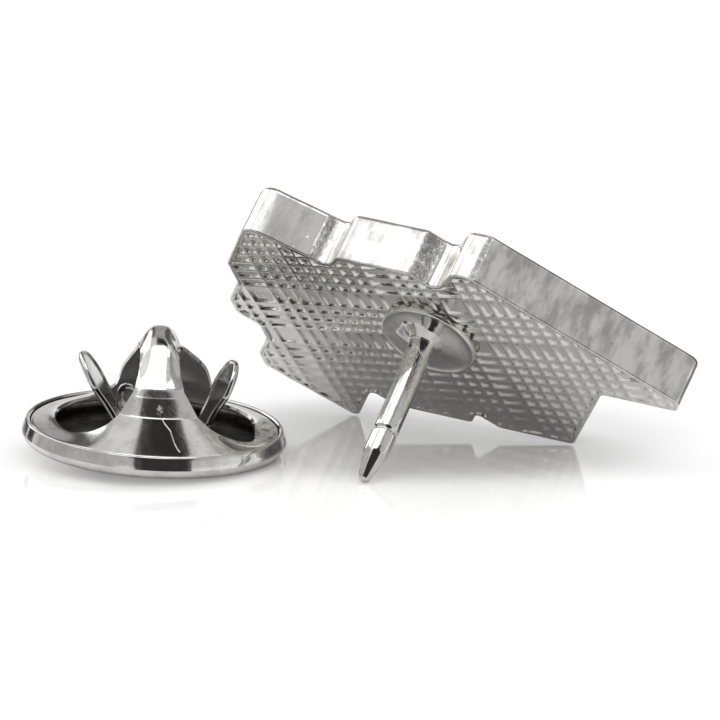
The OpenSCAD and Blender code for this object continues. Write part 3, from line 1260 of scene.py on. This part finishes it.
@dataclass
class ClutchCrown:
    """Pressed bell of the clutch, open at both sides, standing on two legs and a ring.

    Attributes:
        place: Where the clutch stands.
        sheet: Thickness of the sheet.
        window_out: Radius that the windows reach.
        leg_columns: Faces across half a leg.
        window_columns: Faces across a window.
        soft: Radius of the windows' outer corners.
        front_turn: Degrees that the front leg is turned from the front.
        scratch: Route of the scratch on the front leg.
        bulges: Where a window's edge bulges: direction in degrees, how far, and spread in degrees.
        bulge_ends: Distances from the axis between which it bulges.
        dome: Radius and height of the bell's front.
        back_dome: Radius and height of the bell's back and sides.
        spine: The arched top: distance ahead of the axis, and height.
        arch_fall: How steeply the arch falls to its sides.
        arch_power: Power of that fall.
        arch_ease: How much less steeply it falls in front.
        arch_front: Distance ahead of the axis where the fall is fully eased.
        arch_ends: Distances from the axis between which the arch fades into the bell.
        arch_sides: Distances from the spine between which it does.
        flat_foot: Radius and height of the ring, beside the legs.
        sloped_foot: Radius and height of the legs' feet.
        slope_ends: Degrees from a leg's middle where its slope fades: at the front, and at the back.
        legs: Half widths of the legs.
    """

    place: Place
    sheet: float = 0.13
    window_out: float = 4.36
    leg_columns: int = 18
    window_columns: int = 36
    soft: float = 0.4
    front_turn: float = 6.5
    scratch: tuple[Pair, ...] = (
        (0.4, -3.2), (0.62, -3.55), (0.98, -3.95), (1.12, -4.3), (1.22, -4.55), (1.45, -4.91),
    )
    bulges: tuple[Triple, ...] = ((66.0, 0.42, 13.0), (-50.0, 0.12, 20.0))
    bulge_ends: Pair = (3.4, 5.35)
    dome: tuple[Pair, ...] = (
        (3.385, 2.178), (3.3, 2.29), (2.9, 2.82), (2.85, 2.886), (2.835, 2.902), (2.77, 2.987),
        (2.59, 3.217), (2.55, 3.26), (2.2, 3.6), (1.6, 4.22), (1.3, 4.52), (0.8, 4.9), (0, 5.13),
    )
    back_dome: tuple[Pair, ...] = (
        (3.5, 2.22), (3.1, 2.7), (2.72, 3.13), (2.24, 3.58), (1.5, 4.14), (1.22, 4.37), (0.98, 4.55),
        (0.5, 4.92), (0, 5.13),
    )
    spine: tuple[Pair, ...] = (
        (-2.72, 3.1), (-2.3, 3.5), (-1.9, 4.0), (-1.5, 4.66), (-1.2, 5.05), (-0.8, 5.24), (-0.43, 5.28),
        (0, 5.22), (0.45, 5.06), (0.8, 4.87), (1.05, 4.71), (1.3, 4.52), (1.6, 4.22), (2.2, 3.6),
        (2.62, 3.15),
    )
    arch_fall: float = 1.24
    arch_power: float = 2.8
    arch_ease: float = 0.55
    arch_front: float = 1.1
    arch_ends: Pair = (0.95, 2.5)
    arch_sides: Pair = (0.86, 1.12)
    flat_foot: tuple[Pair, ...] = (
        (5.5, 0.62), (5.46, 0.84), (5.4, 0.93), (5.28, 0.965), (5.08, 0.99), (4.72, 1.03), (4.4, 1.12),
        (4.12, 1.4), (3.8, 1.77),
    )
    sloped_foot: tuple[Pair, ...] = (
        (5.5, 0.62), (5.47, 0.84), (5.43, 0.94), (5.38, 0.985), (5.1, 1.15), (4.6, 1.445), (4.1, 1.74),
        (3.6, 2.035), (3.43, 2.133), (3.41, 2.147),
    )
    slope_ends: tuple[Pair, Pair] = ((28.0, 62.0), (18.0, 42.0))
    legs: tuple[LegWidth, ...] = (
        LegWidth(0, 0.84, 0.86, 0.86), LegWidth(0.5, 0.84, 0.92, 1.3), LegWidth(1, 0.84, 1.02, 1.7),
        LegWidth(1.5, 0.86, 1.2, 1.98), LegWidth(1.9, 0.92, 1.4, 2.1), LegWidth(2.45, 1.08, 1.74, 2.2),
        LegWidth(2.8, 1.5, 1.88, 2.25), LegWidth(3.07, 1.84, 1.96, 2.32), LegWidth(3.3, 2.14, 2.05, 2.4),
        LegWidth(3.4, 2.45, 2.1, 2.45), LegWidth(3.46, 3, 2.14, 2.5), LegWidth(4.4, 4.4, 3, 3),
    )

    def height(self) -> Callable[[float, float], float]:
        """Height of the outer side, where the legs' sloped feet blend into the flat ring beside them.

        Returns:
            A function of the distance from the axis and the direction from the front.
        """
        flat = softened((*self.flat_foot, *self.back_dome), 3)[::-1]
        front = softened((*self.sloped_foot, *self.dome), 2)[::-1]
        back = softened((*self.sloped_foot, *self.back_dome[1:]), 3)[::-1]
        spine = softened(self.spine, 3)
        turned = math.radians(self.front_turn)
        (near, far), (inner, outer) = self.arch_ends, self.arch_sides

        def at(radius: float, angle: float) -> float:
            """Height at one place.

            Args:
                radius: Distance from the axis.
                angle: Direction from the front.

            Returns:
                The height.
            """
            away = math.degrees(math.acos(math.cos(angle - turned)))
            in_front = away < 90
            start, end = self.slope_ends[0 if in_front else 1]
            share = smooth((end - min(away, 180 - away)) / (end - start))
            if in_front and radius < self.dome[0][0]:
                share = 1.0
            sloped = table(front if in_front else back, radius)
            level = table(flat, radius) * (1 - share) + sloped * share
            ahead = radius * math.cos(angle)
            beside = abs(radius * math.sin(angle - turned * smooth(ahead)))
            fall = self.arch_fall * (1 - self.arch_ease * smooth(ahead / self.arch_front))
            arch = table(spine, ahead) - fall * min(beside, inner) ** self.arch_power
            share = smooth((far - radius) / (far - near)) * smooth((outer - beside) / (outer - inner))
            return level * (1 - share) + arch * share

        return at

    def half_width(self, far: float, quarter: Quarter) -> float:
        """Half width of a leg at a distance from the axis, in one quarter."""
        return table([(leg.far, leg.at(quarter)) for leg in self.legs], far)

    def edge(self, radius: float, quarter: Quarter) -> float:
        """Angle from the middle of a leg to the window's edge.

        Args:
            radius: Distance from the axis.
            quarter: Quarter of the crown.

        Returns:
            The angle.
        """
        low, high = 0.0, math.pi / 2
        if radius <= self.half_width(0, quarter):
            return high
        for _ in range(40):
            middle = (low + high) / 2
            if radius * math.sin(middle) > self.half_width(radius * math.cos(middle), quarter):
                high = middle
            else:
                low = middle
        left = self.window_out - radius
        bend = self.soft - math.sqrt(self.soft**2 - (self.soft - left) ** 2) if left < self.soft else 0
        return low + bend / radius

    def pulled(self, radius: float, angle: float) -> float:
        """Distance from the axis, once the windows' edges are pulled outwards where they bulge.

        Args:
            radius: Distance before that.
            angle: Direction from the front.

        Returns:
            The distance.
        """
        near, far = self.bulge_ends
        if not near < radius < far:
            return radius
        inside = smooth((radius - near) / (self.window_out - near))
        share = inside * smooth((far - radius) / (far - self.window_out))
        for middle, reach, spread in self.bulges:
            away = math.degrees(angle) - middle
            away -= 360 * round(away / 360)
            radius += reach * share * math.exp(-((away / spread) ** 2))
        return radius

    def radii(self) -> tuple[list[float], list[float]]:
        """Distances of the rows from the axis, closer where the section bends.

        Returns:
            Those of the cap and the legs, and then those of the ring.
        """
        start = self.half_width(0, Quarter.FRONT_RIGHT)
        cap = [0.06, 0.14, 0.24, 0.36, 0.48, 0.6, 0.7, 0.78, start]
        opening = [start + 0.004 * 1.6**k for k in range(9)]
        corner = [self.window_out - 0.42 * (1 - k / 12) ** 2 for k in range(12)]
        legs = [*np.arange(1.15, 3.9, 0.09), *np.arange(2.525, 2.93, 0.03), *np.arange(3.36, 3.53, 0.02)]
        ring = [*np.linspace(self.window_out, 5.1, 9), 5.2, 5.28, 5.34, 5.39, 5.43, 5.47, 5.495]
        return sorted({*cap, *opening, *corner, *legs}), ring

    def leg_angles(self, radius: float) -> list[list[float]]:
        """Directions of a row's points on the legs.

        Args:
            radius: The row's distance from the axis.

        Returns:
            The directions in each quarter, in order round from the front.
        """
        steps = np.arange(self.leg_columns + 1) / self.leg_columns
        right, back, behind, left = (self.edge(radius, quarter) for quarter in Quarter)
        if radius > self.half_width(0, Quarter.FRONT_RIGHT):
            right, left = right + math.radians(self.front_turn), left - math.radians(self.front_turn)
        return [
            list(steps * right),
            list(math.pi - back + steps * back),
            list(math.pi + steps * behind),
            list(math.tau - left + steps * left),
        ]

    def ring_angles(self, legs: Sequence[list[float]]) -> list[float]:
        """Directions of the ring's points, round from the front.

        Args:
            legs: Directions of the legs' points where they meet the ring, in each quarter.

        Returns:
            The directions.
        """
        angles: list[float] = []
        for before, after in (legs[:2], legs[2:]):
            window = np.linspace(before[-1], after[0], self.window_columns + 2)[1:-1]
            angles += [*before, *window, *after]
        return angles[:-1]

    def outer_side(self) -> Skin:
        """The outer side: four quarters of the cap and legs, the ring, and what joins them.

        Returns:
            The skin, whose rows still lie loose on one another.
        """
        skin, height = Skin(), self.height()
        inner, ring = self.radii()

        def row(radius: float, angles: Sequence[float]) -> list[Triple]:
            """Points of a row.

            Args:
                radius: Its distance from the axis.
                angles: Their directions from the front.

            Returns:
                The points.
            """
            points = []
            for a in angles:
                out = self.pulled(radius, a)
                points.append((out * math.sin(a), -out * math.cos(a), height(out, a)))
            return points

        angles = {radius: self.leg_angles(radius) for radius in (*inner, ring[0])}
        for quarter in Quarter:
            index = skin.grid([row(r, angles[r][quarter.value]) for r in inner], around=False)
            skin.points.append((0, 0, height(0, 0)))
            for a, b in zip(index[0][:-1], index[0][1:]):
                skin.face((b, a, len(skin.points) - 1))
        whole = self.ring_angles(angles[ring[0]])
        skin.grid([row(r, whole) for r in ring])
        for near, far in zip(angles[inner[-1]], angles[ring[0]]):
            skin.grid([row(inner[-1], near), row(ring[0], far)], around=False)
        return skin

    @staticmethod
    def join(work: bmesh.types.BMesh) -> None:
        """Join the loose rows of the outer side, and turn its faces one way."""
        bmesh.ops.remove_doubles(work, verts=work.verts, dist=0.0008)
        bmesh.ops.recalc_face_normals(work, faces=work.faces)

    def build(self) -> None:
        """Make the crown and dress it."""
        steps = (
            ("SOLIDIFY", {"thickness": self.sheet, "offset": -1, "material_offset": 1}),
            ("BEVEL", {"width": 0.05, "segments": 3, "angle_limit": math.radians(50), "material": 0}),
            ("WEIGHTED_NORMAL", {"keep_sharp": True}),
        )
        piece = self.outer_side().finished("clutch_crown", self.place, self.join, steps)
        # The crown's inner side wears painted shade and a painted glow.
        dress(piece, self.place, replace(PRESSED, cut=self.scratch), HOLLOW_PAINTED_SHADE_AND_GLOW)
        enlist(piece, "clutch_crown", Body.PIN)


@dataclass
class Wing:
    """One end of the clutch's spring: a dished paddle on a rolled root, with a tongue for the post.

    Attributes:
        place: Where the clutch stands.
        name: The piece's name, which is its CAD node's too.
        body: The body that it rides on.
        pivot_x: Distance of the pivot from the clutch's axis.
        length: Length of the paddle from the pivot.
        lean: Degrees that the paddle leans outwards.
        toe: Degrees that the pivot is turned about the clutch's axis.
        mirror: Whether it is the left wing, which is made as a right one.
        tab: Whether it has the ear behind the paddle.
        width: Width of the paddle.
        sheet: Thickness of the sheet.
        pivot_z: Height of the pivot.
        root_r: Radius of the rolled root.
        root_w: Width of the rolled root.
        neck: Height of the neck between root and paddle.
        step: Length of the faces along the neck's edge.
        rim: How far the paddle's rim stands proud.
        rim_start: Height over which the rim grows out of the neck.
        tongue_end: How far the tongue stays from the clutch's axis.
        tongue_t: Half the tongue's thickness.
        post_room: Radius of the tongue's notch for the post.
        ear_w: Half the ear's width.
        ear_h: Height of the ear.
        ear_t: Half the ear's thickness.
    """

    place: Place
    name: str
    body: Body
    pivot_x: float
    length: float
    lean: float
    toe: float
    mirror: bool = False
    tab: bool = False
    width: float = 2.9
    sheet: float = 0.22
    pivot_z: float = 0.98
    root_r: float = 0.3
    root_w: float = 1.9
    neck: float = 1.0
    step: float = 0.12
    rim: float = 0.08
    rim_start: float = 0.8
    tongue_end: float = 0.15
    tongue_t: float = 0.1
    post_room: float = 0.62
    ear_w: float = 0.42
    ear_h: float = 1.5
    ear_t: float = 0.07

    def outline(self) -> np.ndarray:
        """Outline of the paddle and its neck.

        Returns:
            Across, and up from the pivot, of each point.
        """
        r, hub = self.width / 2, self.length - self.width / 2
        top = [(r * math.cos(a), hub + r * math.sin(a)) for a in np.linspace(0, math.pi, 33)]
        half = self.root_w / 2
        foot = [(-half - 0.05, self.neck), (-half, 0.0), (half, 0.0), (half + 0.05, self.neck)]
        path = softened([top[-1], *foot, top[0]], 2)
        fine = []
        for (ax, ay), (bx, by) in zip(path[:-1], path[1:]):
            count = max(1, round(math.dist((ax, ay), (bx, by)) / self.step))
            fine += [(ax + (bx - ax) * i / count, ay + (by - ay) * i / count) for i in range(count)]
        return np.array(top[:-1] + fine)

    def blade(self, skin: Skin) -> None:
        """Add the paddle, as rings from the middle of its outer face round its edge to the inner face.

        Args:
            skin: The wing's skin.
        """
        outline = self.outline()
        out = outwards(outline)
        middle = np.array([0.0, self.length * 0.52])
        face, floor = self.root_r, self.root_r - self.sheet
        crest = floor - self.rim
        rings = (
            (0.45, 0.25, face + 0.01), (0.75, 0.25, face), (1, 0.25, face - 0.005), (1, 0.12, face - 0.02),
            (1, 0.03, face - 0.08), (1, 0.0, face - 0.15), (1, 0.015, crest + 0.04), (1, 0.05, crest),
            (1, 0.1, crest + 0.005), (1, 0.14, crest + 0.03), (1, 0.18, floor - 0.01), (1, 0.24, floor),
            (0.7, 0.24, floor + 0.02), (0.4, 0.24, floor + 0.03),
        )
        rows = []
        for share, inset, x in rings:
            foot = floor - 0.02 if x < floor else x
            row = []
            for across, up in middle + (outline - out * inset - middle) * share:
                grown = min(1.0, max(0.0, up / self.rim_start))
                row.append((x + (foot - x) * (1 - grown), across, up))
            rows.append(row)
        start = len(skin.points)
        index = skin.grid(rows)
        skin.cap(index[0][::-1], (face + 0.012, *middle))
        skin.cap(index[-1], (floor + 0.035, *middle))
        skin.move(turn(self.lean, "Y"), start)

    def root(self, skin: Skin) -> None:
        """Add the rolled root, a closed curl of sheet along the pivot.

        Args:
            skin: The wing's skin.
        """
        t, r = self.sheet, self.root_r
        turns = np.radians(np.linspace(40, -215, 26))
        outer = [(r * math.cos(a), r * math.sin(a)) for a in turns]
        inner = [((r - t) * math.cos(a), (r - t) * math.sin(a)) for a in turns[::-1]]
        half = self.root_w / 2
        stations = ((-half, 0.9), (-half + 0.04, 1), (half - 0.04, 1), (half, 0.9))
        index = skin.grid([[(x * share, y, z * share) for x, z in outer + inner] for y, share in stations])
        skin.face(index[0][::-1])
        skin.face(index[-1])

    def tongue(self, skin: Skin) -> None:
        """Add the tongue that grips the post, notched round it.

        Args:
            skin: The wing's skin.
        """
        end, half, t, room = self.tongue_end - self.pivot_x, self.root_w / 2, self.tongue_t, self.post_room
        notch = math.asin(min(1, self.tongue_end / room))
        turns = np.linspace(notch, math.pi - notch, 15)
        arc = [(room * math.sin(a) - self.pivot_x, room * math.cos(a)) for a in turns]
        loop = [(end, half), *arc, (end, -half), (-0.05, -half), (-0.05, half)]
        low, top = skin.grid([[(x, y, z) for x, y in loop] for z in (-t, t)])
        skin.face(low[::-1])
        skin.face(top)

    def ear(self, skin: Skin) -> None:
        """Add the small rounded ear that stands behind the blade.

        Args:
            skin: The wing's skin.
        """
        t = self.ear_t
        side = ((0.3, t), (0.08, t), (0.02, t * 0.8), (0.0, t * 0.3))
        rows = []
        for inset, y in (*side, *[(inset, -y) for inset, y in reversed(side)]):
            w, hub = self.ear_w - inset, self.ear_h - self.ear_w
            arc = [(w * math.cos(a), y, hub + w * math.sin(a)) for a in np.linspace(0, math.pi, 17)]
            rows.append([(w, y, inset * 0.5), *arc, (-w, y, inset * 0.5)])
        start = len(skin.points)
        index = skin.grid(rows)
        skin.cap(index[0][::-1], (0, t, self.ear_h / 2))
        skin.cap(index[-1], (0, -t, self.ear_h / 2))
        skin.move(shift(0.12, 0.85, 0.08) @ turn(-24, "Z") @ turn(8, "X"), start)

    @staticmethod
    def join(work: bmesh.types.BMesh) -> None:
        """Turn the faces of each closed part outwards."""
        bmesh.ops.recalc_face_normals(work, faces=work.faces)

    def build(self) -> None:
        """Make the wing and dress it."""
        skin = Skin()
        self.blade(skin)
        self.root(skin)
        self.tongue(skin)
        if self.tab:
            self.ear(skin)
        skin.move(shift(self.pivot_x, 0, self.pivot_z) @ turn(self.toe, "Z"))
        if self.mirror:
            skin = skin.mirrored()
        steps = (
            ("BEVEL", {"width": 0.03, "segments": 2, "angle_limit": math.radians(60)}),
            ("WEIGHTED_NORMAL", {}),
        )
        piece = skin.finished(self.name, self.place, self.join, steps)
        dress(piece, self.place, SPRUNG)
        enlist(piece, self.name, self.body)


@dataclass(frozen=True)
class Card:
    """One card of the studio's light, in the directions where all its spans meet.

    Each span gives its two ends and how softly it ends.

    Attributes:
        level: The card's light, where 1 is the white of the sweep.
        across: Span from left to right, from -1 to 1.
        aside: Span of the distance to either side, from 0 to 1.
        height: Span from straight down to straight up, from -1 to 1.
        rise: Span of the angle from the camera's side up and over, in degrees.
        side: Span of the angle from the camera's side round to the right, in degrees.
    """

    level: float
    across: Triple | None = None
    aside: Triple | None = None
    height: Triple | None = None
    rise: Triple | None = None
    side: Triple | None = None

    def mask(self, **directions: Value) -> Value:
        """1 on the card, worked out from what each of its spans is a span of."""
        bands = [value.band(*span) for name, value in directions.items() if (span := getattr(self, name))]
        return math.prod(bands[1:], start=bands[0])


CARDS = (
    Card(0.95, height=(-2, 0.15, 0.3)),
    Card(0.12, across=(-0.34, 0.9, 0.06), aside=(0.14, 2, 0.08), rise=(117, 165, 5)),
    Card(0.5, side=(-122, -32, 14), height=(-2, 0.625, 0.25)),
    Card(0.06, side=(-140, -127, 5), height=(-0.1, 0.2, 0.06)),
    Card(0.08, side=(112, 150, 8), height=(-0.1, 0.3, 0.06)),
    Card(0.56, side=(32, 95, 8), height=(0.45, 0.93, 0.06)),
    Card(0.4, across=(-0.2, 0.28, 0.1), rise=(108, 160, 5)),
    Card(0.8, across=(-0.3, 0.7, 0.1), rise=(94, 112, 3)),
    Card(0.03, across=(-0.06, 0.28, 0.035), rise=(97, 111, 3)),
    Card(1.7, across=(-0.68, -0.38, 0.04), rise=(92, 168, 5)),
    Card(0.08, across=(-0.6, -0.32, 0.03), rise=(168, 182, 3)),
    Card(0.04, across=(-0.24, 0.57, 0.04), rise=(-60, 62, 3)),
    Card(1.0, across=(-0.75, -0.1, 0.08), rise=(72, 99, 4)),
    Card(0.35, across=(0.4, 0.56, 0.05), rise=(70, 94, 3)),
    Card(1.9, across=(-0.33, 0.42, 0.03), rise=(76, 96, 3)),
    Card(1.9, across=(-0.36, 0.26, 0.03), rise=(64.5, 78, 2)),
)


@dataclass
class Studio:
    """White sweep, soft light and the camera.

    Attributes:
        floor_size: Side of the floor, in metres.
        floor_z: Height of the floor.
        floor_white: Colour of the floor.
        floor_painted_shade: Colour of the floor's painted shade, which the metal mirrors and the camera
            doesn't see.
        shadow_spot: Middle of the floor's open shadow.
        shadow_span: How far that shadow reaches, across and away.
        room: Light where no card is.
        soft_light: Light on what isn't a mirror.
        aim: Where the camera looks.
        far: How far off it is.
        dip: Degrees that it looks down.
        lens: Its focal length.
        film: Width of its picture.
    """

    floor_size: float = 2.0
    floor_z: float = -0.03
    floor_white: Triple = (0.9, 0.9, 0.9)
    floor_painted_shade: Triple = (0.1, 0.1, 0.1)
    shadow_spot: Pair = (3.0, 1.5)
    shadow_span: Pair = (13.0, 9.0)
    room: float = 0.6
    soft_light: float = 1.05
    aim: Triple = (0.046, 15.834, 0.0)
    far: float = 321.97
    dip: float = 13.5
    lens: float = 350.0
    film: float = 36.0

    def light(self) -> None:
        """Make the light, which comes from all round but for the dark cards that the metal mirrors."""
        world = bpy.data.worlds.new("studio")
        world.use_nodes = True
        bpy.context.scene.world = world
        graph = Graph(world.node_tree)
        x, y, z = graph.parts(graph.value("ShaderNodeTexCoord", out="Generated"))
        towards = 0 - y
        rise, side, aside = z.angle_from(towards), x.angle_from(towards), abs(x)
        level = self.room
        for card in CARDS:
            mask = card.mask(across=x, aside=aside, height=z, rise=rise, side=side)
            level = laid(level, card.level, mask)
        level = laid(level, self.soft_light, graph.value("ShaderNodeLightPath", out="Is Diffuse Ray"))
        level = laid(level, 1.0, graph.value("ShaderNodeLightPath", out="Is Camera Ray"))
        sky = graph.add("ShaderNodeBackground", None, {"Color": level, "Strength": 1.0})
        graph.add("ShaderNodeOutputWorld", None, {0: sky.outputs[0]})

    def painted_floor_shade(self, x: Value, y: Value) -> Value:
        """Share of the floor's white that the metal misses: painted shade under the plate and behind it, and
        far behind the pin.
        """
        near = x.rise(-9.0, 4.0) * y.rise(-2.0, 0.8) * 0.63
        return laid(near, 1.0, y.band(14, 90, 5))

    def lifted(self, x: Value, y: Value) -> Value:
        """Light that the floor adds for the camera, so that it is white all round the shadow.

        Args:
            x: Across the floor.
            y: Away over the floor.

        Returns:
            The light.
        """
        wide, deep = self.shadow_span
        middle = (self.shadow_spot[0] / wide, self.shadow_spot[1] / deep)
        around = apart(x * (1 / wide), y * (1 / deep), middle).rise(0.65, 1.0)
        return 0.1 + around * 0.18 + y.rise(-3.5, -9.0) * 0.2

    def sweep(self) -> bpy.types.Material:
        """The floor's material, a glossy white that is clear from below.

        Returns:
            The material.
        """
        material = bpy.data.materials.new("white_sweep")
        material.use_nodes = True
        graph = Graph(material.node_tree)
        seen = graph.value("ShaderNodeLightPath", out="Is Camera Ray")
        x, y, _ = graph.parts(graph.value("ShaderNodeTexCoord", out="Object"))
        x, y = x * (1 / MM), y * (1 / MM)
        inputs = {
            # Painted shade: for every ray but the camera's, the floor darkens under and behind the plate and
            # far behind the pin, so that the metal mirrors a shaded floor.
            "Base Color": graph.tint(self.floor_white, self.floor_painted_shade, self.painted_floor_shade(x, y) * (1 - seen)),
            "Roughness": 0.1,
            "IOR": 1.5,
            "Coat Weight": 0.8,
            "Coat Roughness": 0.1,
            "Emission Color": seen * self.lifted(x, y),
            "Emission Strength": 1.0,
        }
        gloss = graph.add("ShaderNodeBsdfPrincipled", None, inputs)
        clear = graph.add("ShaderNodeBsdfTransparent")
        under = graph.value("ShaderNodeNewGeometry", out="Backfacing")
        shaders = {0: under, 1: gloss.outputs[0], 2: clear.outputs[0]}
        both = graph.add("ShaderNodeMixShader", None, shaders)
        graph.add("ShaderNodeOutputMaterial", None, {0: both.outputs[0]})
        return material

    def floor(self) -> None:
        """Make the floor."""
        half, height = self.floor_size / 2, self.floor_z * MM
        mesh = bpy.data.meshes.new("floor")
        corners = ((-half, -half, height), (half, -half, height), (half, half, height), (-half, half, height))
        mesh.from_pydata(corners, [], [(0, 1, 2, 3)])
        mesh.materials.append(self.sweep())
        sheet = bpy.data.objects.new("floor", mesh)
        bpy.context.scene.collection.objects.link(sheet)

    def camera(self) -> None:
        """Make the camera, low in front of the pin and a long way off."""
        data = bpy.data.cameras.new("camera")
        data.lens, data.sensor_width, data.clip_start = self.lens, self.film, 0.01
        camera = bpy.data.objects.new("camera", data)
        dip = math.radians(self.dip)
        back = Vector((0, -math.cos(dip), math.sin(dip)))
        camera.location = (Vector(self.aim) + back * self.far) * MM
        camera.rotation_euler = (math.radians(90) - dip, 0, 0)
        bpy.context.scene.collection.objects.link(camera)
        bpy.context.scene.camera = camera

    def build(self) -> None:
        """Set the studio up."""
        bpy.context.scene.view_settings.view_transform = "Standard"
        self.light()
        self.floor()
        self.camera()


@dataclass
class Layout:
    """Where the plate and the clutch lie.

    Attributes:
        plate_at: Place of the plate's origin on the floor.
        plate_turn: Degrees that the plate is turned to the right.
        plate_tilt: Degrees that its back is tilted up from the floor.
        clutch_at: Place of the clutch's origin.
        clutch_turn: Degrees that the clutch is turned about its axis.
        clutch_heading: Direction in which it leans, in degrees.
        clutch_lean: Degrees that it leans.
    """

    plate_at: Pair = (-0.11, 5.47)
    plate_turn: float = 29.8
    plate_tilt: float = 50.05
    clutch_at: Triple = (-8.95, -1.52, 0.3465)
    clutch_turn: float = -3.0
    clutch_heading: float = -21.0
    clutch_lean: float = 3.772

    def plate(self) -> Place:
        """Stand of the plate, on its lower edge."""
        moves = turn(-self.plate_turn, "Z"), turn(180 - self.plate_tilt, "X")
        return Place(shift(*self.plate_at, 0)).inside(*moves)

    def clutch(self) -> Place:
        """Stand of the clutch, which leans on its belly.

        Returns:
            The stand.
        """
        heading = math.radians(self.clutch_heading)
        axis = Vector((-math.sin(heading), math.cos(heading), 0))
        return Place(shift(*self.clutch_at)).inside(turn(self.clutch_lean, axis), turn(self.clutch_turn, "Z"))


def main() -> None:
    """Build and dress the pin in its studio."""
    logging.basicConfig(level=logging.INFO, format="%(name)s %(message)s")
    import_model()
    layout = Layout()
    plate, clutch = layout.plate(), layout.clutch()
    left = {"pivot_x": 1.3, "length": 3.65, "lean": 33, "toe": -1, "mirror": True, "tab": True}
    right = {"pivot_x": 1.88, "length": 3.35, "lean": 25, "toe": 12}
    Plate(plate).build()
    Post(plate).build()
    ClutchBase(clutch).build()
    ClutchCrown(clutch).build()
    Wing(clutch, "wing_left", Body.LEFT_WING, **left).build()
    Wing(clutch, "wing_right", Body.RIGHT_WING, **right).build()
    Studio().build()


if __name__ == "__main__":
    main()
